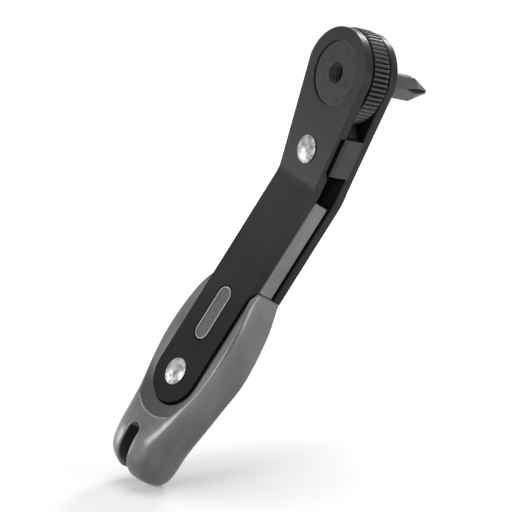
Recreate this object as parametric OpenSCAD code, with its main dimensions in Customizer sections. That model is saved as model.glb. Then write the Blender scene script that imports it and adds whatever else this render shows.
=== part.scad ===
// Flat offset bit ratchet: two bent steel plates carry a toothed thumbwheel with a
// hexagon socket, a reversing pawl and a moulded grip. Millimetres.
// Origin: wheel axis, half way between the plates. +Z leaves the push-out side,
// the bit points down -Z, the head points along +X and the grip runs to -X and rises.

/* [Plates] */
// Thickness of each steel plate
plate_t = 2.6; // [2:0.1:3.5]
// Free space between the two plates
plate_gap = 6; // [5.6:0.1:8]
// Radius of the plates round the wheel
head_r = 12.3; // [11.5:0.05:13]
// Half width of the tapering sides where they cross the wheel axis
head_half_w = 12.1; // [11:0.05:12.4]
// Width of the plates behind the bend
strip_w = 17.3; // [14:0.1:20]
// From the wheel axis to the bend, on the front face
bend_x = 30.5; // [28:0.1:34]
// How far the grip rises at the bend, in degrees
bend_angle = 15.7; // [0:0.1:20]
// Inside radius of the bend, on the front face
bend_r = 10; // [6:0.5:14]
// Length of the plates behind the bend, to their round ends
plate_end_s = 68.7; // [62:0.1:76]

/* [Ratchet wheel] */
// Number of teeth round the wheel
tooth_count = 60; // [48:12:72]
// Radius over the teeth
wheel_r = 12.7; // [12.5:0.05:13.2]
// Depth of a tooth
tooth_h = 0.56; // [0.45:0.01:0.6]
// Width of the flat on top of a tooth
tooth_crest_w = 0.26; // [0.15:0.01:0.3]
// Thickness of the toothed rim
wheel_t = 5.1; // [4:0.1:6]
// Bevel at both ends of the teeth
wheel_bevel = 0.45; // [0.2:0.05:0.8]
// Radius of the disc that turns in the front plate
front_journal_r = 8.55; // [7.8:0.05:9]
// Radius of the journal that turns in the rear plate
rear_journal_r = 6.5; // [5.9:0.05:7.5]
// How far the disc lies below the front plate's face
disc_recess = 0.3; // [0.1:0.05:1]
// Bevel round the disc
disc_bevel = 0.3; // [0.1:0.05:0.5]
// Radius of the push-out hole through the disc
push_hole_r = 2.95; // [2.4:0.05:3]
// Radius of the boss behind the rear plate
boss_r = 5.4; // [5.3:0.05:5.8]
// Length of the boss behind the rear plate
boss_len = 3.4; // [2.4:0.1:6]
// Depth of the hexagon socket from the end of the boss
socket_depth = 8; // [7:0.1:10]
// Thickness of each thrust washer beside the rim
washer_t = 0.18; // [0.1:0.01:0.22]
// Width of each thrust washer's ring
washer_ring_w = 1.9; // [1:0.1:2.4]

/* [Bit] */
// Bit hexagon, across its flats
bit_af = 6.35; // [6.2:0.01:6.4]
// Whole length of the bit
bit_len = 25; // [25:1:50]
// Length of the cone at the bit's point
bit_cone_len = 6.3; // [5:0.1:7]
// Radius of the bit's blunt end
bit_tip_r = 0.65; // [0.5:0.05:0.8]
// Bevel on the corners at the bit's back end
bit_bevel = 0.35; // [0.2:0.05:0.6]
// Turn of the hexagon about the wheel's axis, in degrees
hex_turn = 33; // [0:1:60]
// Distance of the flutes' roots from the axis, at the point
flute_root = 0.4; // [0.3:0.01:0.6]
// Distance from the point at which the flutes run out of the hexagon's flats
flute_len = 8.8; // [7:0.1:10]
// Slope of each flute's two walls, in degrees from the flute's middle
flute_half_angle = 25; // [20:1:45]
// Turn of the flutes about the bit's axis, in degrees
flute_turn = 6; // [0:0.5:90]
// Thickness of the spring ring's wire in the socket
ring_wire = 0.8; // [0.6:0.05:0.9]
// Gap in the spring ring, in degrees
ring_gap_angle = 50; // [30:5:90]

/* [Reverser] */
// From the wheel axis to the pivot of the reverser
pivot_x = 21.6; // [21.3:0.05:22.2]
// Turn of the reverser to each side of its middle, in degrees
reverser_tilt = 6.5; // [6:0.1:7]
// From the pivot back to the reverser's rear face
lever_rear = 4.8; // [4.2:0.1:5]
// From the pivot forwards to a thumb pad's front edge, while that side's nose is engaged
pad_front = 7.2; // [6:0.1:7.6]
// From the pivot back to a thumb pad's rear edge, while that side's nose is engaged
pad_rear = 3.7; // [3:0.1:4.4]
// Bevel along each thumb pad's edge beside the front plate
pad_bevel = 0.7; // [0.3:0.05:1.2]
// How far a thumb pad stands out of the plates, while that side's nose is engaged
pad_proud = 0.6; // [0.2:0.05:0.8]
// From the pivot forwards to the front edge between the two noses
saddle_front = 8.2; // [7.4:0.1:8.4]
// Nearer edge of each nose from the middle line
nose_in = 4.15; // [4:0.1:4.8]
// Outer edge of each nose from the middle line
nose_out = 6.5; // [6.2:0.1:7.6]
// Height of the cam ridge on the rear face
cam_h = 0.8; // [0.6:0.05:1]
// Radius of the pivot bush
pivot_bush_r = 3.1; // [2.7:0.05:3.2]
// From the pivot forwards to the front end of the thumb recess in the front plate
recess_front = 7.1; // [6.5:0.1:7.6]
// Length of the thumb recess along the plate
recess_len = 9.8; // [8:0.1:10]
// Depth of the thumb recess into the front plate
recess_depth = 1.4; // [0.8:0.05:1.6]
// Reach of the thumb recess in from the plate's edge
recess_reach = 3.2; // [2:0.1:4]
// Thickness of the detent spring's strip
spring_t = 0.35; // [0.2:0.05:0.4]
// Height of the detent spring's strip
spring_h = 3; // [2:0.1:3.2]
// Radius of the detent spring's nose
spring_nose_r = 0.5; // [0.4:0.05:0.6]
// From the middle line to each leg of the detent spring
spring_leg_y = 2.6; // [2.2:0.1:3.6]

/* [Rivets and badge] */
// Radius of the rivets' shanks
rivet_r = 2; // [1.5:0.05:2.4]
// Radius of the rivets' heads
rivet_head_r = 3.75; // [3:0.05:4]
// Whole height of the rivets' domed heads
rivet_head_h = 1; // [0.7:0.05:1.3]
// Height of the upright edge round the rivets' heads
rivet_edge_h = 0.3; // [0.1:0.05:0.5]
// Radius of the bush in the grip
grip_bush_r = 3.2; // [2.6:0.05:3.6]
// From the rivet in the grip to the middle of the badge
badge_reach = 18.6; // [16:0.1:24]
// Length of the badge
badge_len = 16; // [10:0.1:20]
// Width of the badge
badge_w = 5.2; // [4:0.1:7]
// Gap round the badge in its window
badge_gap = 0.4; // [0.2:0.05:0.8]
// Height of the raised border round the badge's field
badge_border_h = 0.25; // [0.1:0.05:0.5]
// Width of the raised border round the badge's field
badge_border_w = 0.45; // [0.3:0.05:0.8]

/* [Grip] */
// From the bend to the front end of the grip's tongue
tongue_s = 2.1; // [1.9:0.1:6]
// How far the tongue's edges lie inside the plates' edges
tongue_inset = 0.3; // [0.2:0.05:1]
// Rounding of the tongue's edges
tongue_round = 1.3; // [0.5:0.1:2]
// Length of the grip's cheeks beside the plates
cheek_len = 38.4; // [34:0.1:42]
// Length of the grip past the plates' round ends
grip_tail = 21.4; // [16:0.1:28]
// How far the grip swells out beyond the plates' sides at its widest
grip_swell = 5.15; // [3.5:0.05:6.5]
// Greatest half thickness of the grip, from the middle plane to the rear
grip_half_t = 8.25; // [7.9:0.1:9.4]
// How far the dish round the plate starts below the plate's face
dish_depth = 0.7; // [0.5:0.05:1.2]
// How far the dish runs past the plate's round end
dish_past = 5.9; // [4:0.1:7]
// Gap round the plate in its pocket
pocket_gap = 0.25; // [0.2:0.05:0.6]
// Width of the lanyard slot
slot_w = 4.4; // [4.2:0.1:5]
// Length of the lanyard slot
slot_len = 13; // [9:0.1:14]

/* [Clearances] */
// Radial gap of each part that turns on a round seat
run_gap = 0.07; // [0.03:0.01:0.1]
// Gap between the bit and each flat of its socket
hex_gap = 0.05; // [0.03:0.01:0.1]
// Gap between a flat sliding face and its neighbour
face_gap = 0.1; // [0.05:0.01:0.2]
// Gap between the pawl's teeth and the wheel's teeth
mesh_gap = 0.14; // [0.1:0.01:0.16]
// Gap between fixed pieces that are slid together
seat_gap = 0.05; // [0.03:0.01:0.1]

/* [Hidden] */
$fn = 96;
// One overrun serves all cuts
over = plate_t;
gap_half = plate_gap / 2;
stack_half = gap_half + plate_t;
strip_half = strip_w / 2;
grip_rivet_s = plate_end_s - strip_half;
// Where the bend begins, before and after its crease
bend_tangent = bend_r * tan(bend_angle / 2);
taper_end = bend_x - bend_tangent;
taper_slope = (head_half_w - strip_half) / taper_end;
function side_half(l) = strip_half + (taper_end - l) * taper_slope;
// Wheel and hub
root_r = wheel_r - tooth_h;
crest_half = tooth_crest_w / 2;
half_pitch = 180 / tooth_count;
flank = atan((root_r * tan(half_pitch) - crest_half) / tooth_h);
disc_z = stack_half - disc_recess;
boss_end_z = -stack_half - boss_len;
socket_floor_z = boss_end_z + socket_depth;
socket_corner_r = (bit_af / 2 + hex_gap) / cos(30);
bit_corner_r = bit_af / 2 / cos(30);
bit_back_z = socket_floor_z - seat_gap;
flute_rise = bit_af / 2 - flute_root;
flute_disc_r = (flute_rise * flute_rise + flute_len * flute_len) / (2 * flute_rise);
flute_disc_half_t = flute_disc_r * tan(flute_half_angle);
ring_r = bit_corner_r + seat_gap + ring_wire / 2;
ring_z = boss_end_z + 2 * ring_wire;
washer_play = (gap_half - wheel_t / 2 - washer_t) / 2;
washer_out_r = front_journal_r + washer_ring_w;
// Reverser and its spring, in the pivot's own frame
mesh_h = plate_gap - 2 * face_gap;
nose_front = pivot_x - root_r * cos(asin(nose_out / pivot_x));
cam_tip = lever_rear + cam_h;
spring_nose_x = -(cam_tip + spring_nose_r / 3 + seat_gap / 3);
spring_shoulder_x = spring_nose_x - spring_nose_r * 2;
tongue_face_x = pivot_x - bend_x - tongue_s;
spring_end_x = tongue_face_x - spring_h / 2;
// Badge
badge_s = grip_rivet_s - badge_reach;
badge_half_len = badge_len / 2;
badge_half_w = badge_w / 2;
// Grip
tongue_half_w = strip_half - tongue_inset;
tongue_half_t = gap_half - face_gap;
cheek_s = plate_end_s - cheek_len;
grip_end_s = plate_end_s + grip_tail;
slot_s = grip_end_s - slot_len;
grip_rise = grip_half_t - stack_half;

// The plates, the tongue and the badge behind the bend are drawn in this frame: x runs
// forwards along the strip from the crease and z is zero on the front plate's face
module behind_bend() {
    translate([-bend_x, 0, stack_half])
        rotate([0, bend_angle, 0])
            children();
}

// Outline of the plates in plan: round head, tapering sides and parallel strip
module plate_plan() {
    far = bend_x + grip_rivet_s + strip_w;
    intersection() {
        union() {
            circle(r = head_r);
            translate([-far, -head_r])
                square([far, 2 * head_r]);
        }
        polygon([
            [head_r, side_half(-head_r)], [-taper_end, strip_half], [-far, strip_half],
            [-far, -strip_half], [-taper_end, -strip_half], [head_r, -side_half(-head_r)],
        ]);
    }
}

// The strip behind the bend with its full-round end, grown by a gap
module strip_plan(from_s, grow) {
    translate([-grip_rivet_s, 0])
        circle(r = strip_half + grow);
    translate([-grip_rivet_s, -strip_half - grow])
        square([grip_rivet_s - from_s, strip_w + 2 * grow]);
}

// A stadium along x
module slot_plan(half_len, half_w) {
    for (side = [-1, 1])
        translate([side * (half_len - half_w), 0])
            circle(r = half_w);
    square([2 * (half_len - half_w), 2 * half_w], center = true);
}

// Side view of one face of a plate, from in front of the head to past its round end
bend_steps = 12;
function side_line(depth) = [
    [head_r + over, stack_half - depth],
    for (k = [0 : bend_steps])
        let (turn = bend_angle * k / bend_steps)
            [
                -taper_end - (bend_r + depth) * sin(turn),
                stack_half + bend_r - (bend_r + depth) * cos(turn),
            ],
    [
        -taper_end - (bend_r + depth) * sin(bend_angle) - plate_run * cos(bend_angle),
        stack_half + bend_r - (bend_r + depth) * cos(bend_angle) + plate_run * sin(bend_angle),
    ],
];
plate_run = grip_rivet_s + strip_w;

// One bent plate; depth is how far its upper face lies below the front plate's face
module bent_plate(depth) {
    near = side_line(depth);
    away = side_line(depth + plate_t);
    difference() {
        intersection() {
            rotate([90, 0, 0])
                linear_extrude(2 * head_r + over, center = true)
                    polygon([
                        for (p = near) p,
                        for (k = [len(away) - 1 : -1 : 0]) away[k],
                    ]);
            translate([0, 0, -2 * stack_half])
                linear_extrude(8 * stack_half)
                    plate_plan();
        }
        behind_bend()
            translate([0, 0, -depth - plate_t - over])
                linear_extrude(plate_t + 2 * over)
                    difference() {
                        translate([-2 * plate_run, -strip_w])
                            square([2 * plate_run - grip_rivet_s, 2 * strip_w]);
                        translate([-grip_rivet_s, 0])
                            circle(r = strip_half);
                    }
    }
}

module rivet_holes() {
    translate([-pivot_x, 0, -stack_half - over])
        cylinder(r = rivet_r + seat_gap, h = 2 * (stack_half + over));
    behind_bend()
        translate([-grip_rivet_s, 0, -2 * stack_half - over])
            cylinder(r = rivet_r + seat_gap, h = 2 * (stack_half + over));
}

// The recess beside each thumb pad, in the front plate's inner face
module thumb_recess(side) {
    outer_y = head_half_w + over;
    inner_y = side_half(pivot_x) - recess_reach;
    translate([-pivot_x, side * (outer_y + inner_y) / 2, gap_half])
        rotate([90, 0, 0])
            linear_extrude(outer_y - inner_y, center = true)
                polygon([
                    [recess_front, -over], [recess_front, recess_depth],
                    [recess_front - recess_len, recess_depth],
                    [recess_front - recess_len - 3 / 2 * recess_depth, 0],
                    [recess_front - recess_len - 3 / 2 * recess_depth, -over],
                ]);
}

// Front plate, with the disc's bore, the badge's window and the thumb recesses
module front_plate() {
    color("#1b1b1d")
        difference() {
            bent_plate(0);
            cylinder(r = front_journal_r + run_gap, h = stack_half + over);
            rivet_holes();
            behind_bend()
                translate([-badge_s, 0, -plate_t - over])
                    linear_extrude(plate_t + 2 * over)
                        slot_plan(badge_half_len + badge_gap, badge_half_w + badge_gap);
            for (side = [-1, 1])
                thumb_recess(side);
        }
}

// Rear plate, with the bore for the hub's rear journal
module rear_plate() {
    color("#1b1b1d")
        difference() {
            bent_plate(plate_t + plate_gap);
            translate([0, 0, -stack_half - over])
                cylinder(r = rear_journal_r + run_gap, h = plate_t + 2 * over);
            rivet_holes();
        }
}

// Outline of the toothed rim, with every face moved outwards by grow
function polar(angle, r) = [r * cos(angle), r * sin(angle)];
module tooth_plan(grow) {
    valley_r = (crest_half + wheel_r * tan(flank) + grow / cos(flank))
        / (tan(flank) + tan(half_pitch));
    crest_r = wheel_r + grow;
    crest_angle = atan((crest_half + grow * (1 - sin(flank)) / cos(flank)) / crest_r);
    polygon([
        for (k = [0 : tooth_count - 1])
            for (p = [[0, valley_r], [half_pitch - crest_angle, crest_r], [half_pitch + crest_angle, crest_r]])
                polar(2 * k * half_pitch + p[0], p[1])
    ]);
}

// Rim profile, bevelled at both ends of the teeth
module rim_profile() {
    half = wheel_t / 2;
    polygon([
        [0, -half], [wheel_r - wheel_bevel, -half], [wheel_r + over, wheel_bevel + over - half],
        [wheel_r + over, half - wheel_bevel - over], [wheel_r - wheel_bevel, half], [0, half],
    ]);
}

// The hub and the toothed thumbwheel are one steel piece
module ratchet_wheel() {
    color("#26262a")
        difference() {
            union() {
                intersection() {
                    translate([0, 0, -wheel_t / 2])
                        linear_extrude(wheel_t)
                            tooth_plan(0);
                    rotate_extrude()
                        rim_profile();
                }
                rotate_extrude()
                    polygon([
                        [0, boss_end_z], [boss_r - disc_bevel, boss_end_z],
                        [boss_r, boss_end_z + disc_bevel], [boss_r, -stack_half],
                        [rear_journal_r, -stack_half], [rear_journal_r, 0],
                        [front_journal_r, 0], [front_journal_r, disc_z - disc_bevel],
                        [front_journal_r - disc_bevel, disc_z], [0, disc_z],
                    ]);
            }
            translate([0, 0, -over])
                cylinder(r = push_hole_r, h = disc_z + 2 * over);
            translate([0, 0, boss_end_z - over])
                rotate([0, 0, hex_turn])
                    cylinder(r = socket_corner_r, h = socket_depth + over, $fn = 6);
            translate([0, 0, ring_z - ring_wire * 3 / 5])
                cylinder(r = ring_r + ring_wire * 3 / 5, h = ring_wire * 6 / 5);
        }
}

module thrust_washer(low_z, journal_r) {
    translate([0, 0, low_z])
        linear_extrude(washer_t)
            difference() {
                circle(r = washer_out_r);
                circle(r = journal_r + run_gap);
            }
}

module front_thrust_washer() {
    color("#8d8f92")
        thrust_washer(wheel_t / 2 + washer_play, front_journal_r);
}

module rear_thrust_washer() {
    color("#8d8f92")
        thrust_washer(-wheel_t / 2 - washer_play - washer_t, rear_journal_r);
}

// Split spring ring that grips the bit
module bit_retaining_ring() {
    color("#9a9ca0")
        translate([0, 0, ring_z])
            rotate([0, 0, ring_gap_angle / 2])
                rotate_extrude(angle = 360 - ring_gap_angle)
                    translate([ring_r, 0])
                        circle(r = ring_wire / 2, $fn = 24);
}

// Cross-head insert bit, seated in the socket
module screwdriver_bit() {
    tip_z = bit_back_z - bit_len;
    cone_z = tip_z + bit_cone_len;
    color("#4d4e52")
        difference() {
            intersection() {
                translate([0, 0, tip_z])
                    rotate([0, 0, hex_turn])
                        cylinder(r = bit_corner_r, h = bit_len, $fn = 6);
                rotate_extrude()
                    polygon([
                        [0, tip_z], [bit_tip_r, tip_z], [bit_corner_r, cone_z],
                        [bit_corner_r, bit_back_z - bit_bevel],
                        [bit_corner_r - bit_bevel, bit_back_z], [0, bit_back_z],
                    ]);
            }
            for (turn = [0 : 90 : 270])
                rotate([0, 0, turn + flute_turn])
                    translate([flute_root + flute_disc_r, 0, tip_z])
                        flute_disc();
        }
}

// The milling disc that leaves one flute
module flute_disc() {
    rotate([90, 0, 0])
        rotate_extrude()
            polygon([[0, -flute_disc_half_t], [flute_disc_r, 0], [0, flute_disc_half_t]]);
}

// A point beside the plates' edge, in the reverser's own frame while the nose there is engaged
function engaged(x, y) =
    [
        x * cos(reverser_tilt) - y * sin(reverser_tilt),
        y * cos(reverser_tilt) + x * sin(reverser_tilt),
    ];

// Reverser outline in its middle position, about its own pivot
module reverser_plan() {
    half = [
        [-cam_tip, 0], [-lever_rear, cam_h],
        engaged(-pad_rear, side_half(pivot_x + pad_rear) + pad_proud),
        engaged(pad_front, side_half(pivot_x - pad_front) + pad_proud),
        engaged(pad_front, nose_out * 6 / 5), [nose_front, nose_out], [nose_front, nose_in],
        [saddle_front, nose_in * 4 / 5], [saddle_front, 0],
    ];
    count = len(half);
    polygon([
        for (p = half) p,
        for (k = [count - 2 : -1 : 1]) [half[k][0], -half[k][1]],
    ]);
}

// Cutter for the bevel along one thumb pad
module pad_bevel_cut(side) {
    rotate([0, 0, side * reverser_tilt])
        translate([0, side * (side_half(pivot_x) + pad_proud), mesh_h / 2])
            rotate([0, 0, side * atan(taper_slope)])
                rotate([45, 0, 0])
                    cube([4 * pad_front, sqrt(2) * pad_bevel, sqrt(2) * pad_bevel], center = true);
}

// Thumb-operated reverser and pawl in one piece. At rest it is turned to one side, with
// the other side's nose in the wheel's teeth
module reverser() {
    color("#232326")
        translate([-pivot_x, 0, 0])
            rotate([0, 0, reverser_tilt])
                difference() {
                    linear_extrude(mesh_h, center = true)
                        difference() {
                            reverser_plan();
                            circle(r = pivot_bush_r + run_gap);
                            for (side = [-1, 1])
                                rotate([0, 0, side * reverser_tilt])
                                    translate([pivot_x, 0])
                                        tooth_plan(mesh_gap);
                        }
                    for (side = [-1, 1])
                        pad_bevel_cut(side);
                }
}

module bush(outer_r) {
    difference() {
        cylinder(r = outer_r, h = plate_gap, center = true);
        cylinder(r = rivet_r + seat_gap, h = plate_gap + over, center = true);
    }
}

module pivot_bush() {
    color("#a5a7aa")
        translate([-pivot_x, 0, 0])
            bush(pivot_bush_r);
}

// Domed head with its flat side on z = 0
module rivet_head() {
    dome_h = rivet_head_h - rivet_edge_h;
    dome_r = (rivet_head_r * rivet_head_r + dome_h * dome_h) / (2 * dome_h);
    intersection() {
        translate([0, 0, rivet_head_h - dome_r])
            sphere(r = dome_r);
        cylinder(r = rivet_head_r, h = rivet_head_h + over);
    }
}

// Rivet through both plates, headed on each side; its middle is at the origin
module rivet() {
    cylinder(r = rivet_r, h = 2 * stack_half, center = true);
    for (side = [0, 180])
        rotate([side, 0, 0])
            translate([0, 0, stack_half])
                rivet_head();
}

module pivot_rivet() {
    color("#d8dadd")
        translate([-pivot_x, 0, 0])
            rivet();
}

// Strip of spring steel drawn along a line of points
module strip_path(points, thick) {
    for (k = [0 : len(points) - 2]) {
        run = points[k + 1] - points[k];
        translate(points[k])
            rotate([0, 0, atan2(run[1], run[0])])
                translate([0, -thick / 2])
                    square([norm(run), thick]);
    }
    for (k = [1 : len(points) - 2])
        translate(points[k])
            circle(r = thick / 2);
}

function spring_points(side) = [
    [spring_nose_x - spring_nose_r / 2, 0],
    [spring_shoulder_x, side * spring_nose_r * 3],
    [spring_shoulder_x, side * (spring_leg_y - spring_nose_r)],
    [spring_shoulder_x - spring_nose_r, side * spring_leg_y],
    [spring_end_x, side * spring_leg_y],
];

module spring_plan(grow) {
    translate([spring_nose_x, 0])
        circle(r = spring_nose_r + grow);
    for (side = [-1, 1])
        strip_path(spring_points(side), spring_t + 2 * grow);
}

// Bowed spring between the grip's tongue and the cam ridge of the reverser
module detent_spring() {
    color("#b4b6ba")
        translate([-pivot_x, 0, -spring_h / 2])
            linear_extrude(spring_h)
                spring_plan(0);
}

// Grip stations: share of the grip's length, share of its swell beyond the plates' sides,
// shares of its half thickness to the front and to the rear, then how square the section is
grip_shares = [
    [0, 0.125, 0.5, 0.69, 9], [0.045, 0.31, 0.63, 0.73, 8.5], [0.085, 0.47, 0.71, 0.755, 8],
    [0.125, 0.62, 0.745, 0.775, 7.5], [0.19, 0.8, 0.75, 0.79, 7], [0.28, 0.94, 0.755, 0.815, 7],
    [0.38, 0.97, 0.755, 0.86, 7], [0.45, 0.89, 0.755, 0.875, 7], [0.53, 0.74, 0.755, 0.85, 6.5],
    [0.61, 0.58, 0.755, 0.865, 5.5], [0.68, 0.47, 0.79, 0.89, 4.5],
    [0.755, 0.39, 0.875, 0.925, 3.6], [0.82, 0.31, 0.95, 0.98, 3.1], [0.885, 0.28, 0.9, 1, 3],
    [0.93, 0.18, 0.82, 1, 3], [0.965, -0.02, 0.66, 0.95, 3], [0.988, -0.24, 0.44, 0.84, 3],
    [1, -0.46, 0.26, 0.71, 3.2],
];
grip_len = grip_end_s - cheek_s;
ring_steps = 56;
// Each stretch between two stations is drawn in this many steps, on a smooth curve
stretch_steps = 2;

function smooth_value(p, q, r, s, t) =
    q + t / 2 * (r - p + t * (2 * p - 5 * q + 4 * r - s + t * (3 * (q - r) + s - p)));
function smooth_station(shares, k, t) =
    let (last = len(shares) - 1)
        smooth_value(
            shares[max(k - 1, 0)], shares[k], shares[k + 1], shares[min(k + 2, last)], t
        );
grip_stations = [
    for (k = [0 : len(grip_shares) - 2])
        for (j = [0 : stretch_steps - 1])
            smooth_station(grip_shares, k, j / stretch_steps),
    grip_shares[len(grip_shares) - 1],
];

function round_power(value, square) = sign(value) * pow(abs(value), 2 / square);
function grip_ring(st) = [
    for (k = [0 : ring_steps - 1])
        let (
            turn = 360 * k / ring_steps,
            half_w = strip_half + st[1] * grip_swell,
            middle = grip_half_t * (st[2] - st[3]) / 2,
            half_t = grip_half_t * (st[2] + st[3]) / 2
        )
            [
                -cheek_s - st[0] * grip_len,
                half_w * round_power(cos(turn), st[4]),
                middle + half_t * round_power(sin(turn), st[4]),
            ],
];

// The grip's outer form, about the middle plane between the plates
module grip_form() {
    rings = len(grip_stations);
    polyhedron(
        points = [for (st = grip_stations) for (p = grip_ring(st)) p],
        faces = [
            [for (k = [ring_steps - 1 : -1 : 0]) k],
            [for (k = [0 : ring_steps - 1]) (rings - 1) * ring_steps + k],
            for (i = [0 : rings - 2])
                for (k = [0 : ring_steps - 1])
                    let (
                        a = i * ring_steps + k,
                        b = i * ring_steps + (k + 1) % ring_steps
                    )
                        for (face = [[a, b, a + ring_steps], [b, b + ring_steps, a + ring_steps]])
                            face,
        ]
    );
}

// Section of the tongue between the plates, with rounded edges
module tongue_section() {
    for (y = [-1, 1])
        for (z = [-1, 1])
            translate([z * (tongue_half_t - tongue_round), y * (tongue_half_w - tongue_round)])
                circle(r = tongue_round);
    square([2 * (tongue_half_t - tongue_round), 2 * tongue_half_w], center = true);
    square([2 * tongue_half_t, 2 * (tongue_half_w - tongue_round)], center = true);
}

// Rim of the dish: share of the way from the cheeks to the dish's end, share of the grip's
// swell beyond the plates' sides, then share of the grip's greatest rise above the plate's face
rim_shares = [
    [0.04, 0.1, 0], [0.16, 0.27, 0], [0.25, 0.52, 0], [0.38, 0.78, 0], [0.51, 0.8, 0],
    [0.6, 0.76, 0], [0.7, 0.56, 0], [0.79, 0.33, 0.04], [0.88, 0, 0.15], [0.945, -0.4, 0.3],
    [0.985, -0.95, 0.44], [1, -1.66, 0.5],
];
rim_steps = 3;
rim_stations = [
    for (k = [0 : len(rim_shares) - 2])
        for (j = [0 : rim_steps - 1])
            smooth_station(rim_shares, k, j / rim_steps),
    rim_shares[len(rim_shares) - 1],
];
dish_len = plate_end_s + dish_past - cheek_s;
pocket_half = strip_half + pocket_gap;

// The point where the dish starts, at the pocket's edge, for a point on its rim
function dish_start(p) =
    p[0] > -grip_rivet_s
        ? [p[0], sign(p[1]) * pocket_half]
        : [-grip_rivet_s, 0] + (p - [-grip_rivet_s, 0]) * pocket_half / norm(p - [-grip_rivet_s, 0]);

// The point above a rim point where the dish's slope has reached the grip's greatest rise
function dish_top(share, side) =
    let (
        rim = [-cheek_s - share[0] * dish_len, side * (strip_half + share[1] * grip_swell)],
        from = dish_start(rim)
    )
        from + (rim - from) * (dish_depth + grip_rise) / (dish_depth + share[2] * grip_rise);

module dish_top_plan() {
    polygon([
        for (share = rim_stations) dish_top(share, 1),
        for (k = [len(rim_stations) - 1 : -1 : 0]) dish_top(rim_stations[k], -1),
    ]);
}

// Pocket and dish for one plate, with the plate's face on z = 0
module plate_pocket() {
    translate([0, 0, -plate_t - face_gap])
        linear_extrude(plate_t + over)
            strip_plan(0, pocket_gap);
    hull() {
        translate([0, 0, -dish_depth])
            linear_extrude(seat_gap)
                intersection() {
                    strip_plan(0, pocket_gap, $fn = 48);
                    translate([-2 * plate_end_s, -strip_w])
                        square([2 * plate_end_s - cheek_s, 2 * strip_w]);
                }
        translate([0, 0, grip_rise])
            linear_extrude(seat_gap)
                dish_top_plan();
    }
}

// Moulded grip with its tongue between the plates, a dished pocket for each plate and a
// lanyard slot through the end
module handle_grip() {
    color("#6f7276")
        difference() {
            behind_bend()
                translate([0, 0, -stack_half])
                    difference() {
                        union() {
                            translate([-grip_rivet_s, 0, 0])
                                rotate([0, 90, 0])
                                    linear_extrude(grip_rivet_s - tongue_s)
                                        tongue_section();
                            grip_form();
                        }
                        for (side = [0, 180])
                            rotate([side, 0, 0])
                                translate([0, 0, stack_half])
                                    plate_pocket();
                        translate([-grip_rivet_s, 0, 0])
                            cylinder(r = grip_bush_r + seat_gap, h = plate_gap + over, center = true);
                        translate([-slot_s - slot_w / 2, 0, -2 * grip_half_t])
                            cylinder(r = slot_w / 2, h = 4 * grip_half_t);
                        translate([-grip_end_s - over, -slot_w / 2, -2 * grip_half_t])
                            cube([slot_len + over - slot_w / 2, slot_w, 4 * grip_half_t]);
                    }
            translate([-pivot_x, 0, -spring_h / 2 - face_gap])
                linear_extrude(spring_h + 2 * face_gap)
                    spring_plan(seat_gap);
        }
}

module handle_bush() {
    color("#a5a7aa")
        behind_bend()
            translate([-grip_rivet_s, 0, -stack_half])
                bush(grip_bush_r);
}

module handle_rivet() {
    color("#d8dadd")
        behind_bend()
            translate([-grip_rivet_s, 0, -stack_half])
                rivet();
}

// Oval inlay on the tongue, in the front plate's window, with a bare field
module badge() {
    low = -plate_t - face_gap + seat_gap;
    color("#7d8084")
        behind_bend()
            translate([-badge_s, 0, low])
                difference() {
                    linear_extrude(-low)
                        slot_plan(badge_half_len, badge_half_w);
                    translate([0, 0, -low - badge_border_h])
                        linear_extrude(badge_border_h + over)
                            slot_plan(badge_half_len - badge_border_w, badge_half_w - badge_border_w);
                }
}

front_plate();
rear_plate();
ratchet_wheel();
front_thrust_washer();
rear_thrust_washer();
bit_retaining_ring();
screwdriver_bit();
reverser();
pivot_bush();
pivot_rivet();
detent_spring();
handle_grip();
handle_bush();
handle_rivet();
badge();
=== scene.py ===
import math

import bpy
from mathutils import Matrix, Vector


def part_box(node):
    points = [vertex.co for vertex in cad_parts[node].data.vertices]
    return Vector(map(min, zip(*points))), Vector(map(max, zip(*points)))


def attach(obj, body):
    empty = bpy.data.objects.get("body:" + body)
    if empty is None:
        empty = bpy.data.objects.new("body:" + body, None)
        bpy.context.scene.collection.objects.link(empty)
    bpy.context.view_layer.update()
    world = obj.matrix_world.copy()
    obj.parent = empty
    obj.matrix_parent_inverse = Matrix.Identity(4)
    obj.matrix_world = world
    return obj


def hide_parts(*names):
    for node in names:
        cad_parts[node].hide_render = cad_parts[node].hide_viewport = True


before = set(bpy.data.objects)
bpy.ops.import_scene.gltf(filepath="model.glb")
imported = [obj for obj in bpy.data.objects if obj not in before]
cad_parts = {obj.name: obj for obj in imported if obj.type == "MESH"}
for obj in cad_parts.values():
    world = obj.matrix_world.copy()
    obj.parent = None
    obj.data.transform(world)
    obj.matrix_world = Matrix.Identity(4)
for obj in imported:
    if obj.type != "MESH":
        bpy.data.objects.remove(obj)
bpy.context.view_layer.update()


# Where the photograph was taken from. The tool stands on the end of its grip, so the picture's
# upright runs along the tool and the camera is rolled by most of a right angle.
picture_width = 512
focal_length_in_pixels = 2200
film_width = 36.0
nearest_seen = 0.01
furthest_seen = 20.0
camera_place = Vector((0.09774, -0.43771, 0.36601))
rough_right = Vector((0.329, -0.526, -0.784)).normalized()
towards_scene = Vector((-0.258, 0.749, -0.610)).normalized()
picture_up = rough_right.cross(towards_scene).normalized()
picture_right = towards_scene.cross(picture_up).normalized()

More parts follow.
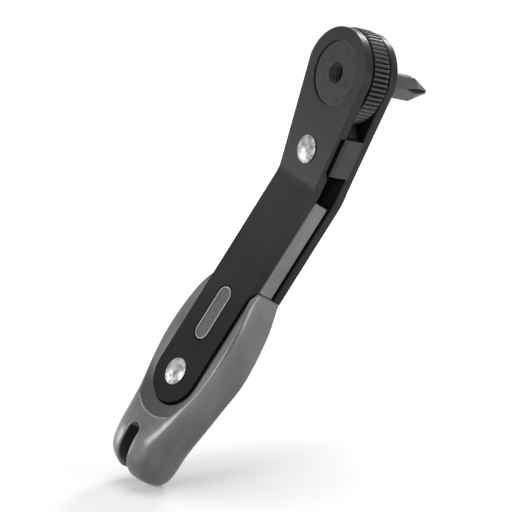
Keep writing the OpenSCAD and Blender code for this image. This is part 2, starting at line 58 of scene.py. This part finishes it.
photo_camera = bpy.data.cameras.new("photo_camera")
photo_camera.sensor_width = film_width
photo_camera.lens = film_width * focal_length_in_pixels / picture_width
photo_camera.clip_start = nearest_seen
photo_camera.clip_end = furthest_seen
photo_viewpoint = bpy.data.objects.new("photo_viewpoint", photo_camera)
photo_viewpoint.matrix_world = Matrix.Translation(camera_place) @ Matrix(
    (picture_right, picture_up, -towards_scene)
).transposed().to_4x4()
bpy.context.scene.collection.objects.link(photo_viewpoint)
bpy.context.scene.camera = photo_viewpoint
bpy.context.scene.view_settings.view_transform = "Standard"


# The floor that the grip's end stands on: a pale sheet seen at a low angle. It glows with a painted
# light of its own, weaker round the tool's foot, which paints it a little darker there, and stronger
# further off, where it turns white. It shows only from above, so it hides nothing when the tool is
# looked at from its other side.
floor_tilt = math.radians(13)
floor_size = 6.0
floor_colour = (0.86, 0.86, 0.86, 1)
floor_roughness = 0.9
floor_gloss = 0.1
floor_near_light = 0.24
floor_far_light = 0.68
shade_start = 0.02
shade_reach = 0.16
floor_normal = (
    picture_up * math.cos(floor_tilt) - towards_scene * math.sin(floor_tilt)
).normalized()


class Finish:
    """The nodes of a material or of the surround: added by kind, and fed by sockets or values."""

    # A mixing node has these sockets for its share and its two colours, and this one for the result
    mix_share, mix_below, mix_above, mix_result = 0, 6, 7, 2

    def __init__(self, owner):
        owner.use_nodes = True
        self.tree = owner.node_tree

    def add(self, kind, **settings):
        node = self.tree.nodes.new("ShaderNode" + kind)
        for setting, value in settings.items():
            setattr(node, setting, value)
        return node

    def feed(self, source, socket):
        """Joins a socket to its source, or sets it where the source is a number or a colour."""
        if isinstance(source, bpy.types.NodeSocket):
            self.tree.links.new(source, socket)
        else:
            socket.default_value = source

    def worked_out(self, operation, first, second):
        """What a sum or a test of two numbers gives."""
        node = self.add("Math", operation=operation)
        self.feed(first, node.inputs[0])
        self.feed(second, node.inputs[1])
        return node.outputs[0]

    def ranged(self, value, low, high, start=0.0, end=1.0, ease="LINEAR"):
        """Goes from low to high as the value goes from start to end."""
        node = self.add("MapRange", interpolation_type=ease)
        node.inputs["From Min"].default_value = start
        node.inputs["From Max"].default_value = end
        node.inputs["To Min"].default_value = low
        node.inputs["To Max"].default_value = high
        self.feed(value, node.inputs["Value"])
        return node.outputs["Result"]

    def mixed(self, share, first, second):
        """Two shaders in one: the first where the share is 0, the second where it is 1."""
        node = self.add("MixShader")
        self.feed(share, node.inputs[0])
        self.feed(first, node.inputs[1])
        self.feed(second, node.inputs[2])
        return node.outputs[0]


grip_points = [v.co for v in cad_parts["handle_grip"].data.vertices]
foot = min(grip_points, key=lambda point: point.dot(floor_normal)).copy()

bpy.ops.object.select_all(action="DESELECT")
bpy.ops.mesh.primitive_plane_add(size=floor_size)
pale_floor = bpy.context.object
pale_floor.name = "pale_floor"
pale_floor.data.transform(
    Matrix.Translation(foot) @ floor_normal.to_track_quat("Z", "Y").to_matrix().to_4x4()
)

floor_sheet = bpy.data.materials.new("floor_sheet")
pale = Finish(floor_sheet)
sheet = pale.tree.nodes["Principled BSDF"]
sheet.inputs["Base Color"].default_value = floor_colour
sheet.inputs["Roughness"].default_value = floor_roughness
sheet.inputs["Specular IOR Level"].default_value = floor_gloss
from_foot = pale.add("VectorMath", operation="DISTANCE")
pale.feed(pale.add("TexCoord").outputs["Object"], from_foot.inputs[0])
from_foot.inputs[1].default_value = foot
# The sheet's own glow is painted light, weaker round the foot so that the sheet is painted darker there
own_light = pale.add("Emission")
own_strength = pale.ranged(
    from_foot.outputs["Value"],
    low=floor_near_light, high=floor_far_light, start=shade_start, end=shade_reach, ease="SMOOTHSTEP",
)
pale.feed(own_strength, own_light.inputs["Strength"])
lit_sheet = pale.add("AddShader")
pale.feed(sheet.outputs[0], lit_sheet.inputs[0])
pale.feed(own_light.outputs[0], lit_sheet.inputs[1])
rays = pale.add("LightPath")
seen = pale.worked_out("MAXIMUM", rays.outputs["Is Camera Ray"], rays.outputs["Is Glossy Ray"])
from_above = pale.mixed(seen, sheet.outputs[0], lit_sheet.outputs[0])
nothing = pale.add("BsdfTransparent").outputs[0]
from_below = pale.add("NewGeometry").outputs["Backfacing"]
floor_shader = pale.mixed(from_below, from_above, nothing)
pale.feed(floor_shader, pale.tree.nodes["Material Output"].inputs["Surface"])
pale_floor.data.materials.append(floor_sheet)


# The studio: a white surround and five soft lamps, placed by the picture's own directions: one to
# the left, one overhead, one low at the right in front, one behind and a small one that shines
# straight at the tool's front face.
room_strength = 0.36
white_strength = 1.0
surround = bpy.data.worlds.new("white_surround")
bpy.context.scene.world = surround
room = Finish(surround)
room_light = room.tree.nodes["Background"]
room_light.inputs["Color"].default_value = (1, 1, 1, 1)
room_light.inputs["Strength"].default_value = room_strength
white = room.add("Background")
white.inputs["Color"].default_value = (1, 1, 1, 1)
white.inputs["Strength"].default_value = white_strength
rays = room.add("LightPath")
seen = room.worked_out("MAXIMUM", rays.outputs["Is Camera Ray"], rays.outputs["Is Glossy Ray"])
seen = room.worked_out("MAXIMUM", seen, rays.outputs["Is Transmission Ray"])
surround_shader = room.mixed(seen, room_light.outputs[0], white.outputs[0])
room.feed(surround_shader, room.tree.nodes["World Output"].inputs["Surface"])

tool_middle = Vector((-0.050, 0.0, 0.006))
for lamp_name, right, up, back, size, power in (
    ("left_softbox", -0.57, -0.01, 0.21, 0.24, 0.8),
    ("top_softbox", 0.00, 0.65, -0.15, 0.45, 1.5),
    ("right_softbox", 0.55, -0.12, -0.40, 0.35, 1.6),
    ("back_softbox", 0.30, 0.48, 0.36, 0.14, 1.2),
    ("front_softbox", -0.44, 0.10, -0.38, 0.22, 0.9),
):
    softbox = bpy.data.lights.new(lamp_name, "AREA")
    softbox.shape = "SQUARE"
    softbox.size = size
    softbox.energy = power
    lamp = bpy.data.objects.new(lamp_name, softbox)
    lamp.location = tool_middle + picture_right * right + picture_up * up + towards_scene * back
    lamp.rotation_euler = (tool_middle - lamp.location).to_track_quat("-Z", "Y").to_euler()
    bpy.context.scene.collection.objects.link(lamp)


# The two side plates: pressed steel strip, 2.6 mm thick, blanked and bent as a pair, tumbled so
# that their edges are rounded over, and coated semi-gloss black. The coat is duller towards the
# grip, where it is handled.
plate_edge_round = 0.00060
plate_sharp_edge = 40
plate_black = (0.012, 0.012, 0.0125, 1)
plate_black_dark = (0.009, 0.009, 0.0094, 1)
plate_black_light = (0.014, 0.014, 0.0145, 1)
handled_from = -0.035
handled_to = -0.095
new_gloss = 0.24
handled_gloss = 0.06
same_point = 1e-6
same_face = math.radians(0.3)
smooth_turn = math.radians(32)


def rounded_copy(node, name, edge_round, sharp_edge, segments=3):
    """The CAD piece with its triangles joined into faces again and its sharp edges rounded over."""
    bpy.ops.object.select_all(action="DESELECT")
    piece = bpy.data.objects.new(name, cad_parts[node].data.copy())
    bpy.context.scene.collection.objects.link(piece)
    piece.data.materials.clear()
    bpy.context.view_layer.objects.active = piece
    piece.select_set(True)
    bpy.ops.mesh.customdata_custom_splitnormals_clear()
    bpy.ops.object.mode_set(mode="EDIT")
    bpy.ops.mesh.select_all(action="SELECT")
    bpy.ops.mesh.remove_doubles(threshold=same_point)
    bpy.ops.mesh.dissolve_limited(angle_limit=same_face)
    bpy.ops.object.mode_set(mode="OBJECT")
    rounding = piece.modifiers.new("rounding", "BEVEL")
    rounding.width = edge_round
    rounding.segments = segments
    rounding.limit_method = "ANGLE"
    rounding.angle_limit = math.radians(sharp_edge)
    bpy.ops.object.modifier_apply(modifier=rounding.name)
    bpy.ops.object.shade_smooth_by_angle(angle=smooth_turn)
    flat_faces = piece.modifiers.new("flat_faces", "WEIGHTED_NORMAL")
    flat_faces.keep_sharp = True
    bpy.ops.object.modifier_apply(modifier=flat_faces.name)
    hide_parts(node)
    return piece


class MetalFinish(Finish):
    """A coated or bare metal surface: its shader, its patterns and its relief."""

    # A tone's dark end lasts up to here in its pattern, and its light end starts here
    dark_until, light_from = 0.35, 0.65

    def __init__(self, name, colour, metallic, roughness):
        self.material = bpy.data.materials.new(name)
        super().__init__(self.material)
        self.shader = self.tree.nodes["Principled BSDF"]
        self.give("Base Color", colour)
        self.give("Metallic", metallic)
        self.give("Roughness", roughness)
        self.place = self.add("TexCoord").outputs["Object"]

    def give(self, quality, source):
        """Gives the shader one quality, as a value or as a pattern's socket."""
        self.feed(source, self.shader.inputs[quality])

    def grain(self, scale, detail, stretch=(1, 1, 1), place=None):
        """A noise pattern, longer along the axes that have a small stretch value."""
        drawn = self.add("Mapping")
        drawn.inputs["Scale"].default_value = stretch
        self.feed(place or self.place, drawn.inputs["Vector"])
        noise = self.add("TexNoise")
        noise.inputs["Scale"].default_value = scale
        noise.inputs["Detail"].default_value = detail
        self.feed(drawn.outputs["Vector"], noise.inputs["Vector"])
        return noise.outputs["Fac"]

    def toned(self, pattern, dark, light):
        """A colour that runs from dark to light with a 0 to 1 pattern."""
        ramp = self.add("ValToRGB")
        first, last = ramp.color_ramp.elements
        first.position, first.color = self.dark_until, dark
        last.position, last.color = self.light_from, light
        self.feed(pattern, ramp.inputs["Fac"])
        return ramp.outputs["Color"]

    def overlaid(self, below, mask, above):
        """One colour laid over another where the mask says."""
        layer = self.add("Mix", data_type="RGBA")
        self.feed(mask, layer.inputs[self.mix_share])
        self.feed(below, layer.inputs[self.mix_below])
        self.feed(above, layer.inputs[self.mix_above])
        return layer.outputs[self.mix_result]

    def relief(self, height, strength, depth, below=None):
        """Bumps the surface by a height pattern, on top of another bump where one is given."""
        bump = self.add("Bump")
        bump.inputs["Strength"].default_value = strength
        bump.inputs["Distance"].default_value = depth
        self.feed(height, bump.inputs["Height"])
        if below is not None:
            self.feed(below.outputs["Normal"], bump.inputs["Normal"])
        self.give("Normal", bump.outputs["Normal"])
        return bump


coat = MetalFinish("plate_coat", plate_black, metallic=0.0, roughness=0.33)
orange_peel = coat.grain(scale=1400, detail=3)
broad_tone = coat.grain(scale=60, detail=3)
along = coat.add("SeparateXYZ")
coat.feed(coat.place, along.inputs[0])
coat.give("Base Color", coat.toned(broad_tone, plate_black_dark, plate_black_light))
coat.give("Roughness", coat.ranged(broad_tone, low=0.29, high=0.38))
gloss = coat.ranged(along.outputs["X"], new_gloss, handled_gloss, start=handled_from, end=handled_to)
coat.give("Specular IOR Level", gloss)
coat.relief(orange_peel, strength=0.5, depth=0.00004)

for node, name in (("front_plate", "front_plate_pressing"), ("rear_plate", "rear_plate_pressing")):
    pressing = rounded_copy(node, name, plate_edge_round, plate_sharp_edge)
    pressing.data.materials.append(coat.material)
    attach(pressing, "grip_frame")


# The ratchet wheel: turned from one steel bar with its journals and hub, toothed round the rim
# and blackened. The disc shows faint rings from the facing tool. The teeth's valleys are painted
# near black as painted shade, and their tops are painted lighter, partly as rubbed wear and partly
# as a painted highlight. The disc's edge carries a painted highlight, and the push-out hole's wall
# shows the drill's rings, painted much lighter than the oxide as painted light inside the hole.
valley_r = 0.01195
crest_start_r = 0.01228
crest_r = 0.01250
push_hole_r = 0.00297
disc_edge_r = 0.00832
disc_back_z = 0.0035
oxide_black = (0.04, 0.04, 0.042, 1)
oxide_dark = (0.021, 0.021, 0.0215, 1)
oxide_light = (0.034, 0.034, 0.035, 1)
# Painted shade for the valleys, painted highlights for the tops and the disc's edge, painted light for
# the hole
valley_painted_shade = (0.006, 0.006, 0.006, 1)
crest_rub_and_highlight = (0.060, 0.060, 0.061, 1)
disc_edge_highlight = (0.42, 0.42, 0.424, 1)
drilled_dark = (0.03, 0.03, 0.03, 1)
hole_wall_painted_light = (0.30, 0.30, 0.303, 1)

oxide = MetalFinish("wheel_oxide", oxide_black, metallic=0.35, roughness=0.36)
split = oxide.add("SeparateXYZ")
oxide.feed(oxide.place, split.inputs[0])
flat_place = oxide.add("CombineXYZ")
oxide.feed(split.outputs["X"], flat_place.inputs["X"])
oxide.feed(split.outputs["Y"], flat_place.inputs["Y"])
to_axis = oxide.add("VectorMath", operation="LENGTH")
oxide.feed(flat_place.outputs[0], to_axis.inputs[0])
from_axis = to_axis.outputs["Value"]
ring_place = oxide.add("CombineXYZ")
oxide.feed(from_axis, ring_place.inputs["X"])

facing_rings = oxide.grain(scale=9000, detail=2, place=ring_place.outputs[0])
drill_rings = oxide.grain(scale=1100, detail=1, stretch=(0, 0, 1))
blotches = oxide.grain(scale=420, detail=4)
on_crest = oxide.ranged(from_axis, low=0.0, high=1.0, start=crest_start_r, end=crest_r)
in_teeth = oxide.worked_out("GREATER_THAN", from_axis, valley_r)
in_hole = oxide.worked_out("LESS_THAN", from_axis, push_hole_r)
past_face = oxide.worked_out("GREATER_THAN", from_axis, disc_edge_r)
on_disc = oxide.worked_out("GREATER_THAN", split.outputs["Z"], disc_back_z)
on_disc_edge = oxide.worked_out("MULTIPLY", past_face, on_disc)
tone = oxide.toned(blotches, oxide_dark, oxide_light)
# Painted shade in the valleys, painted highlights on the tops and the disc's edge, painted light in the
# hole
tone = oxide.overlaid(tone, in_teeth, valley_painted_shade)
tone = oxide.overlaid(tone, on_crest, crest_rub_and_highlight)
tone = oxide.overlaid(tone, on_disc_edge, disc_edge_highlight)
tone = oxide.overlaid(tone, in_hole, oxide.toned(drill_rings, drilled_dark, hole_wall_painted_light))
oxide.give("Base Color", tone)
oxide.give("Specular IOR Level", oxide.ranged(on_crest, low=0.30, high=0.42))
oxide.give("Roughness", oxide.ranged(blotches, low=0.30, high=0.42))
oxide.relief(facing_rings, strength=0.22, depth=0.00004)

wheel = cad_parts["ratchet_wheel"]
wheel.data.materials.clear()
wheel.data.materials.append(oxide.material)


# The small bright steel pieces between the plates: thrust washers, the socket's spring ring,
# the two bushes and the detent spring. Plain ground or drawn steel, lightly oiled.
steel_grey = (0.42, 0.42, 0.43, 1)
steel_dark = (0.36, 0.36, 0.37, 1)
steel_light = (0.50, 0.50, 0.51, 1)

steel = MetalFinish("bare_steel", steel_grey, metallic=1.0, roughness=0.34)
drawn_lines = steel.grain(scale=900, detail=4, stretch=(1, 1, 0.15))
steel.give("Base Color", steel.toned(drawn_lines, steel_dark, steel_light))
steel.give("Roughness", steel.ranged(drawn_lines, low=0.26, high=0.42))
steel.relief(drawn_lines, strength=0.2, depth=0.00002)

for node in (
    "front_thrust_washer", "rear_thrust_washer", "bit_retaining_ring",
    "pivot_bush", "handle_bush", "detent_spring",
):
    small_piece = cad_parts[node]
    small_piece.data.materials.clear()
    small_piece.data.materials.append(steel.material)


# The cross-head bit: hexagon tool steel, milled flutes, phosphated dark grey and a little
# brighter where the coating has rubbed.
bit_edge_round = 0.00010
bit_sharp_edge = 25
phosphate_grey = (0.09, 0.09, 0.093, 1)
phosphate_dark = (0.062, 0.062, 0.063, 1)
phosphate_rubbed = (0.098, 0.098, 0.100, 1)

phosphate = MetalFinish("bit_phosphate", phosphate_grey, metallic=0.2, roughness=0.42)
crystals = phosphate.grain(scale=2600, detail=5)
rubbed = phosphate.grain(scale=260, detail=4, stretch=(1, 1, 0.3))
phosphate.give("Base Color", phosphate.toned(rubbed, phosphate_dark, phosphate_rubbed))
phosphate.give("Roughness", phosphate.ranged(rubbed, low=0.34, high=0.5))
phosphate.relief(crystals, strength=0.3, depth=0.00003)

insert_bit = rounded_copy("screwdriver_bit", "cross_head_bit", bit_edge_round, bit_sharp_edge, segments=2)
insert_bit.data.materials.append(phosphate.material)
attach(insert_bit, "bit")


# The reverser: sintered steel lever and pawl in one, blackened, with its edges broken so that a
# thumb can push it.
reverser_edge_round = 0.00022
reverser_sharp_edge = 30
reverser_black = (0.045, 0.045, 0.047, 1)
reverser_dark = (0.019, 0.019, 0.020, 1)
reverser_light = (0.031, 0.031, 0.032, 1)

blackened = MetalFinish("reverser_black", reverser_black, metallic=0.2, roughness=0.46)
pores = blackened.grain(scale=3200, detail=4)
thumbed = blackened.grain(scale=240, detail=3)
blackened.give("Base Color", blackened.toned(thumbed, reverser_dark, reverser_light))
blackened.give("Roughness", blackened.ranged(thumbed, low=0.40, high=0.54))
blackened.relief(pores, strength=0.35, depth=0.00003)

lever = rounded_copy("reverser", "reversing_lever", reverser_edge_round, reverser_sharp_edge)
lever.data.materials.append(blackened.material)
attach(lever, "reverser")


# The grip: a zinc casting, its tongue riveted between the plates, sprayed with a gunmetal
# metallic coat that flows over its edges. Fine lines run along it from polishing the casting. The
# dish round the plates' end is painted darker within its rim as the painted shade of a hollow, with
# a thin painted highlight along the rim.
grip_edge_round = 0.00020
grip_sharp_edge = 42
cast_grain = 0.00030
smooth_share = 0.5
skin_passes = 6
end_passes = 70
soft_from = 0.0120
soft_to = 0.0160
slot_clear = 0.0030
slot_far = 0.0055
strip_tilt = math.radians(15.7)
rim_line_r = 0.0131
rim_line_out_r = 0.0135
dish_wall_lean = 0.06
dish_wall_full_lean = 0.20
dish_end_from = 0.002
dish_end_to = 0.007
grip_grey = (0.15, 0.15, 0.152, 1)
grip_dark = (0.105, 0.105, 0.107, 1)
grip_light = (0.160, 0.160, 0.162, 1)
dish_painted_shade = (0.058, 0.058, 0.059, 1)
rim_painted_highlight = (0.24, 0.24, 0.242, 1)
rivet_low, rivet_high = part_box("handle_rivet")
plates_end_centre = (Vector(rivet_low) + Vector(rivet_high)) / 2

gunmetal = MetalFinish("grip_metal", grip_grey, metallic=0.9, roughness=0.34)
gunmetal.give("Coat Weight", 0.35)
gunmetal.give("Coat Roughness", 0.14)
polishing = gunmetal.grain(scale=1500, detail=4, stretch=(0.06, 1, 1))
flakes = gunmetal.grain(scale=5200, detail=2)
clouds = gunmetal.grain(scale=110, detail=4, stretch=(0.45, 1, 1))
gunmetal.give("Roughness", gunmetal.ranged(polishing, low=0.26, high=0.42))
polished_lines = gunmetal.relief(polishing, strength=0.18, depth=0.00003)
gunmetal.relief(flakes, strength=0.12, depth=0.00001, below=polished_lines)

# The dish's place: a point's way out from the plates' middle line, on a piece turned level
in_strip = gunmetal.add("Mapping", vector_type="TEXTURE")
in_strip.inputs["Location"].default_value = plates_end_centre
in_strip.inputs["Rotation"].default_value = (0, strip_tilt, 0)
gunmetal.feed(gunmetal.place, in_strip.inputs["Vector"])
strip_place = gunmetal.add("SeparateXYZ")
gunmetal.feed(in_strip.outputs["Vector"], strip_place.inputs[0])
way_out = gunmetal.add("CombineXYZ")
gunmetal.feed(gunmetal.worked_out("MINIMUM", strip_place.outputs["X"], 0.0), way_out.inputs["X"])
gunmetal.feed(strip_place.outputs["Y"], way_out.inputs["Y"])
way_length = gunmetal.add("VectorMath", operation="LENGTH")
gunmetal.feed(way_out.outputs[0], way_length.inputs[0])
outwards = gunmetal.add("VectorMath", operation="NORMALIZE")
gunmetal.feed(way_out.outputs[0], outwards.inputs[0])
turned_normal = gunmetal.add("Mapping", vector_type="TEXTURE")
turned_normal.inputs["Rotation"].default_value = (0, strip_tilt, 0)
gunmetal.feed(gunmetal.add("TexCoord").outputs["Normal"], turned_normal.inputs["Vector"])
lean = gunmetal.add("VectorMath", operation="DOT_PRODUCT")
gunmetal.feed(outwards.outputs["Vector"], lean.inputs[0])
gunmetal.feed(turned_normal.outputs["Vector"], lean.inputs[1])

# The dish's wall leans back towards that line, and only its round end gets the painted shade
leans_in = gunmetal.ranged(
    lean.outputs["Value"], low=0.0, high=1.0, start=-dish_wall_lean, end=-dish_wall_full_lean
)
past_end = gunmetal.ranged(
    strip_place.outputs["X"], low=0.0, high=1.0, start=-dish_end_from, end=-dish_end_to
)
inside_rim = gunmetal.worked_out("LESS_THAN", way_length.outputs["Value"], rim_line_out_r)
beyond_floor = gunmetal.worked_out("GREATER_THAN", way_length.outputs["Value"], rim_line_r)
in_dish = gunmetal.worked_out("MULTIPLY", leans_in, past_end)
in_dish = gunmetal.worked_out("MULTIPLY", in_dish, inside_rim)
on_rim_line = gunmetal.worked_out("MULTIPLY", in_dish, beyond_floor)
tone = gunmetal.toned(clouds, grip_dark, grip_light)
# Painted shade in the dish and a painted highlight along its rim
tone = gunmetal.overlaid(tone, in_dish, dish_painted_shade)
tone = gunmetal.overlaid(tone, on_rim_line, rim_painted_highlight)
gunmetal.give("Base Color", tone)

casting = rounded_copy("handle_grip", "grip_casting", grip_edge_round, grip_sharp_edge, segments=2)
cast_skin = casting.modifiers.new("cast_skin", "REMESH")
cast_skin.mode = "VOXEL"
cast_skin.voxel_size = cast_grain
cast_skin.use_smooth_shade = True
bpy.ops.object.modifier_apply(modifier=cast_skin.name)
flow = casting.modifiers.new("flow", "SMOOTH")
flow.factor = smooth_share
flow.iterations = skin_passes
bpy.ops.object.modifier_apply(modifier=flow.name)


def risen(value, start, end):
    """Runs smoothly from 0 at start to 1 at end."""
    part = min(1.0, max(0.0, (value - start) / (end - start)))
    return part * part * (3 - 2 * part)


towards_end = Vector((-math.cos(strip_tilt), 0.0, math.sin(strip_tilt)))
soft_end = casting.vertex_groups.new(name="soft_end")
for point in casting.data.vertices:
    past_centre = (point.co - plates_end_centre).dot(towards_end)
    softness = risen(past_centre, soft_from, soft_to) * risen(abs(point.co.y), slot_clear, slot_far)
    if softness > 0.0:
        soft_end.add([point.index], softness, "REPLACE")
end_rounding = casting.modifiers.new("end_rounding", "SMOOTH")
end_rounding.factor = smooth_share
end_rounding.iterations = end_passes
end_rounding.vertex_group = soft_end.name
bpy.ops.object.modifier_apply(modifier=end_rounding.name)
casting.data.materials.append(gunmetal.material)
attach(casting, "grip_frame")


# The oval badge in the front plate's window: the same coat, lighter on the raised border and
# stippled and darker on the field inside it.
badge_edge_round = 0.00012
badge_sharp_edge = 35
border_start = 0.00018
border_full = 0.00006
badge_grey = (0.15, 0.15, 0.155, 1)
field_dark = (0.085, 0.085, 0.087, 1)
field_light = (0.14, 0.14, 0.142, 1)
raised_border_light = (0.30, 0.30, 0.303, 1)
strip_normal = Vector((math.sin(strip_tilt), 0.0, math.cos(strip_tilt)))
border_height = max(v.co.dot(strip_normal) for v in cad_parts["badge"].data.vertices)

badge_coat = MetalFinish("badge_metal", badge_grey, metallic=0.85, roughness=0.36)
stipple = badge_coat.grain(scale=2400, detail=4)
height = badge_coat.add("VectorMath", operation="DOT_PRODUCT")
badge_coat.feed(badge_coat.place, height.inputs[0])
height.inputs[1].default_value = strip_normal
on_border = badge_coat.ranged(
    height.outputs["Value"],
    low=0.0, high=1.0, start=border_height - border_start, end=border_height - border_full,
)
field_tone = badge_coat.toned(stipple, field_dark, field_light)
badge_coat.give("Base Color", badge_coat.overlaid(field_tone, on_border, raised_border_light))
badge_coat.give("Roughness", badge_coat.ranged(stipple, low=0.3, high=0.48))
badge_coat.relief(stipple, strength=0.4, depth=0.00004)

oval = rounded_copy("badge", "oval_badge", badge_edge_round, badge_sharp_edge, segments=2)
oval.data.materials.append(badge_coat.material)
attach(oval, "grip_frame")


# The two rivets through the stack: soft steel, their heads peened to shallow domes by hammer
# strokes and then bright plated. Their colour is mottled well below bright plate, dark in the dents
# and lighter between them, as a painted reflection of the hammered facets.
stroke_scale = 620
plating_bright = (0.78, 0.78, 0.79, 1)
dent_painted_reflection = (0.18, 0.18, 0.184, 1)
facet_painted_reflection = (0.48, 0.48, 0.486, 1)

plating = MetalFinish("rivet_plating", plating_bright, metallic=1.0, roughness=0.20)
strokes = plating.add("TexVoronoi", feature="SMOOTH_F1")
strokes.inputs["Scale"].default_value = stroke_scale
plating.feed(plating.place, strokes.inputs["Vector"])
soft_dents = plating.grain(scale=520, detail=3)
# The mottle is a painted reflection: dark in the dents, lighter between them
plating.give("Base Color", plating.toned(soft_dents, dent_painted_reflection, facet_painted_reflection))
plating.give("Roughness", plating.ranged(soft_dents, low=0.24, high=0.38))
hammered = plating.relief(strokes.outputs["Distance"], strength=0.7, depth=0.0003)
plating.relief(soft_dents, strength=0.6, depth=0.0002, below=hammered)

for node in ("pivot_rivet", "handle_rivet"):
    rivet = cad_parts[node]
    rivet.data.materials.clear()
    rivet.data.materials.append(plating.material)
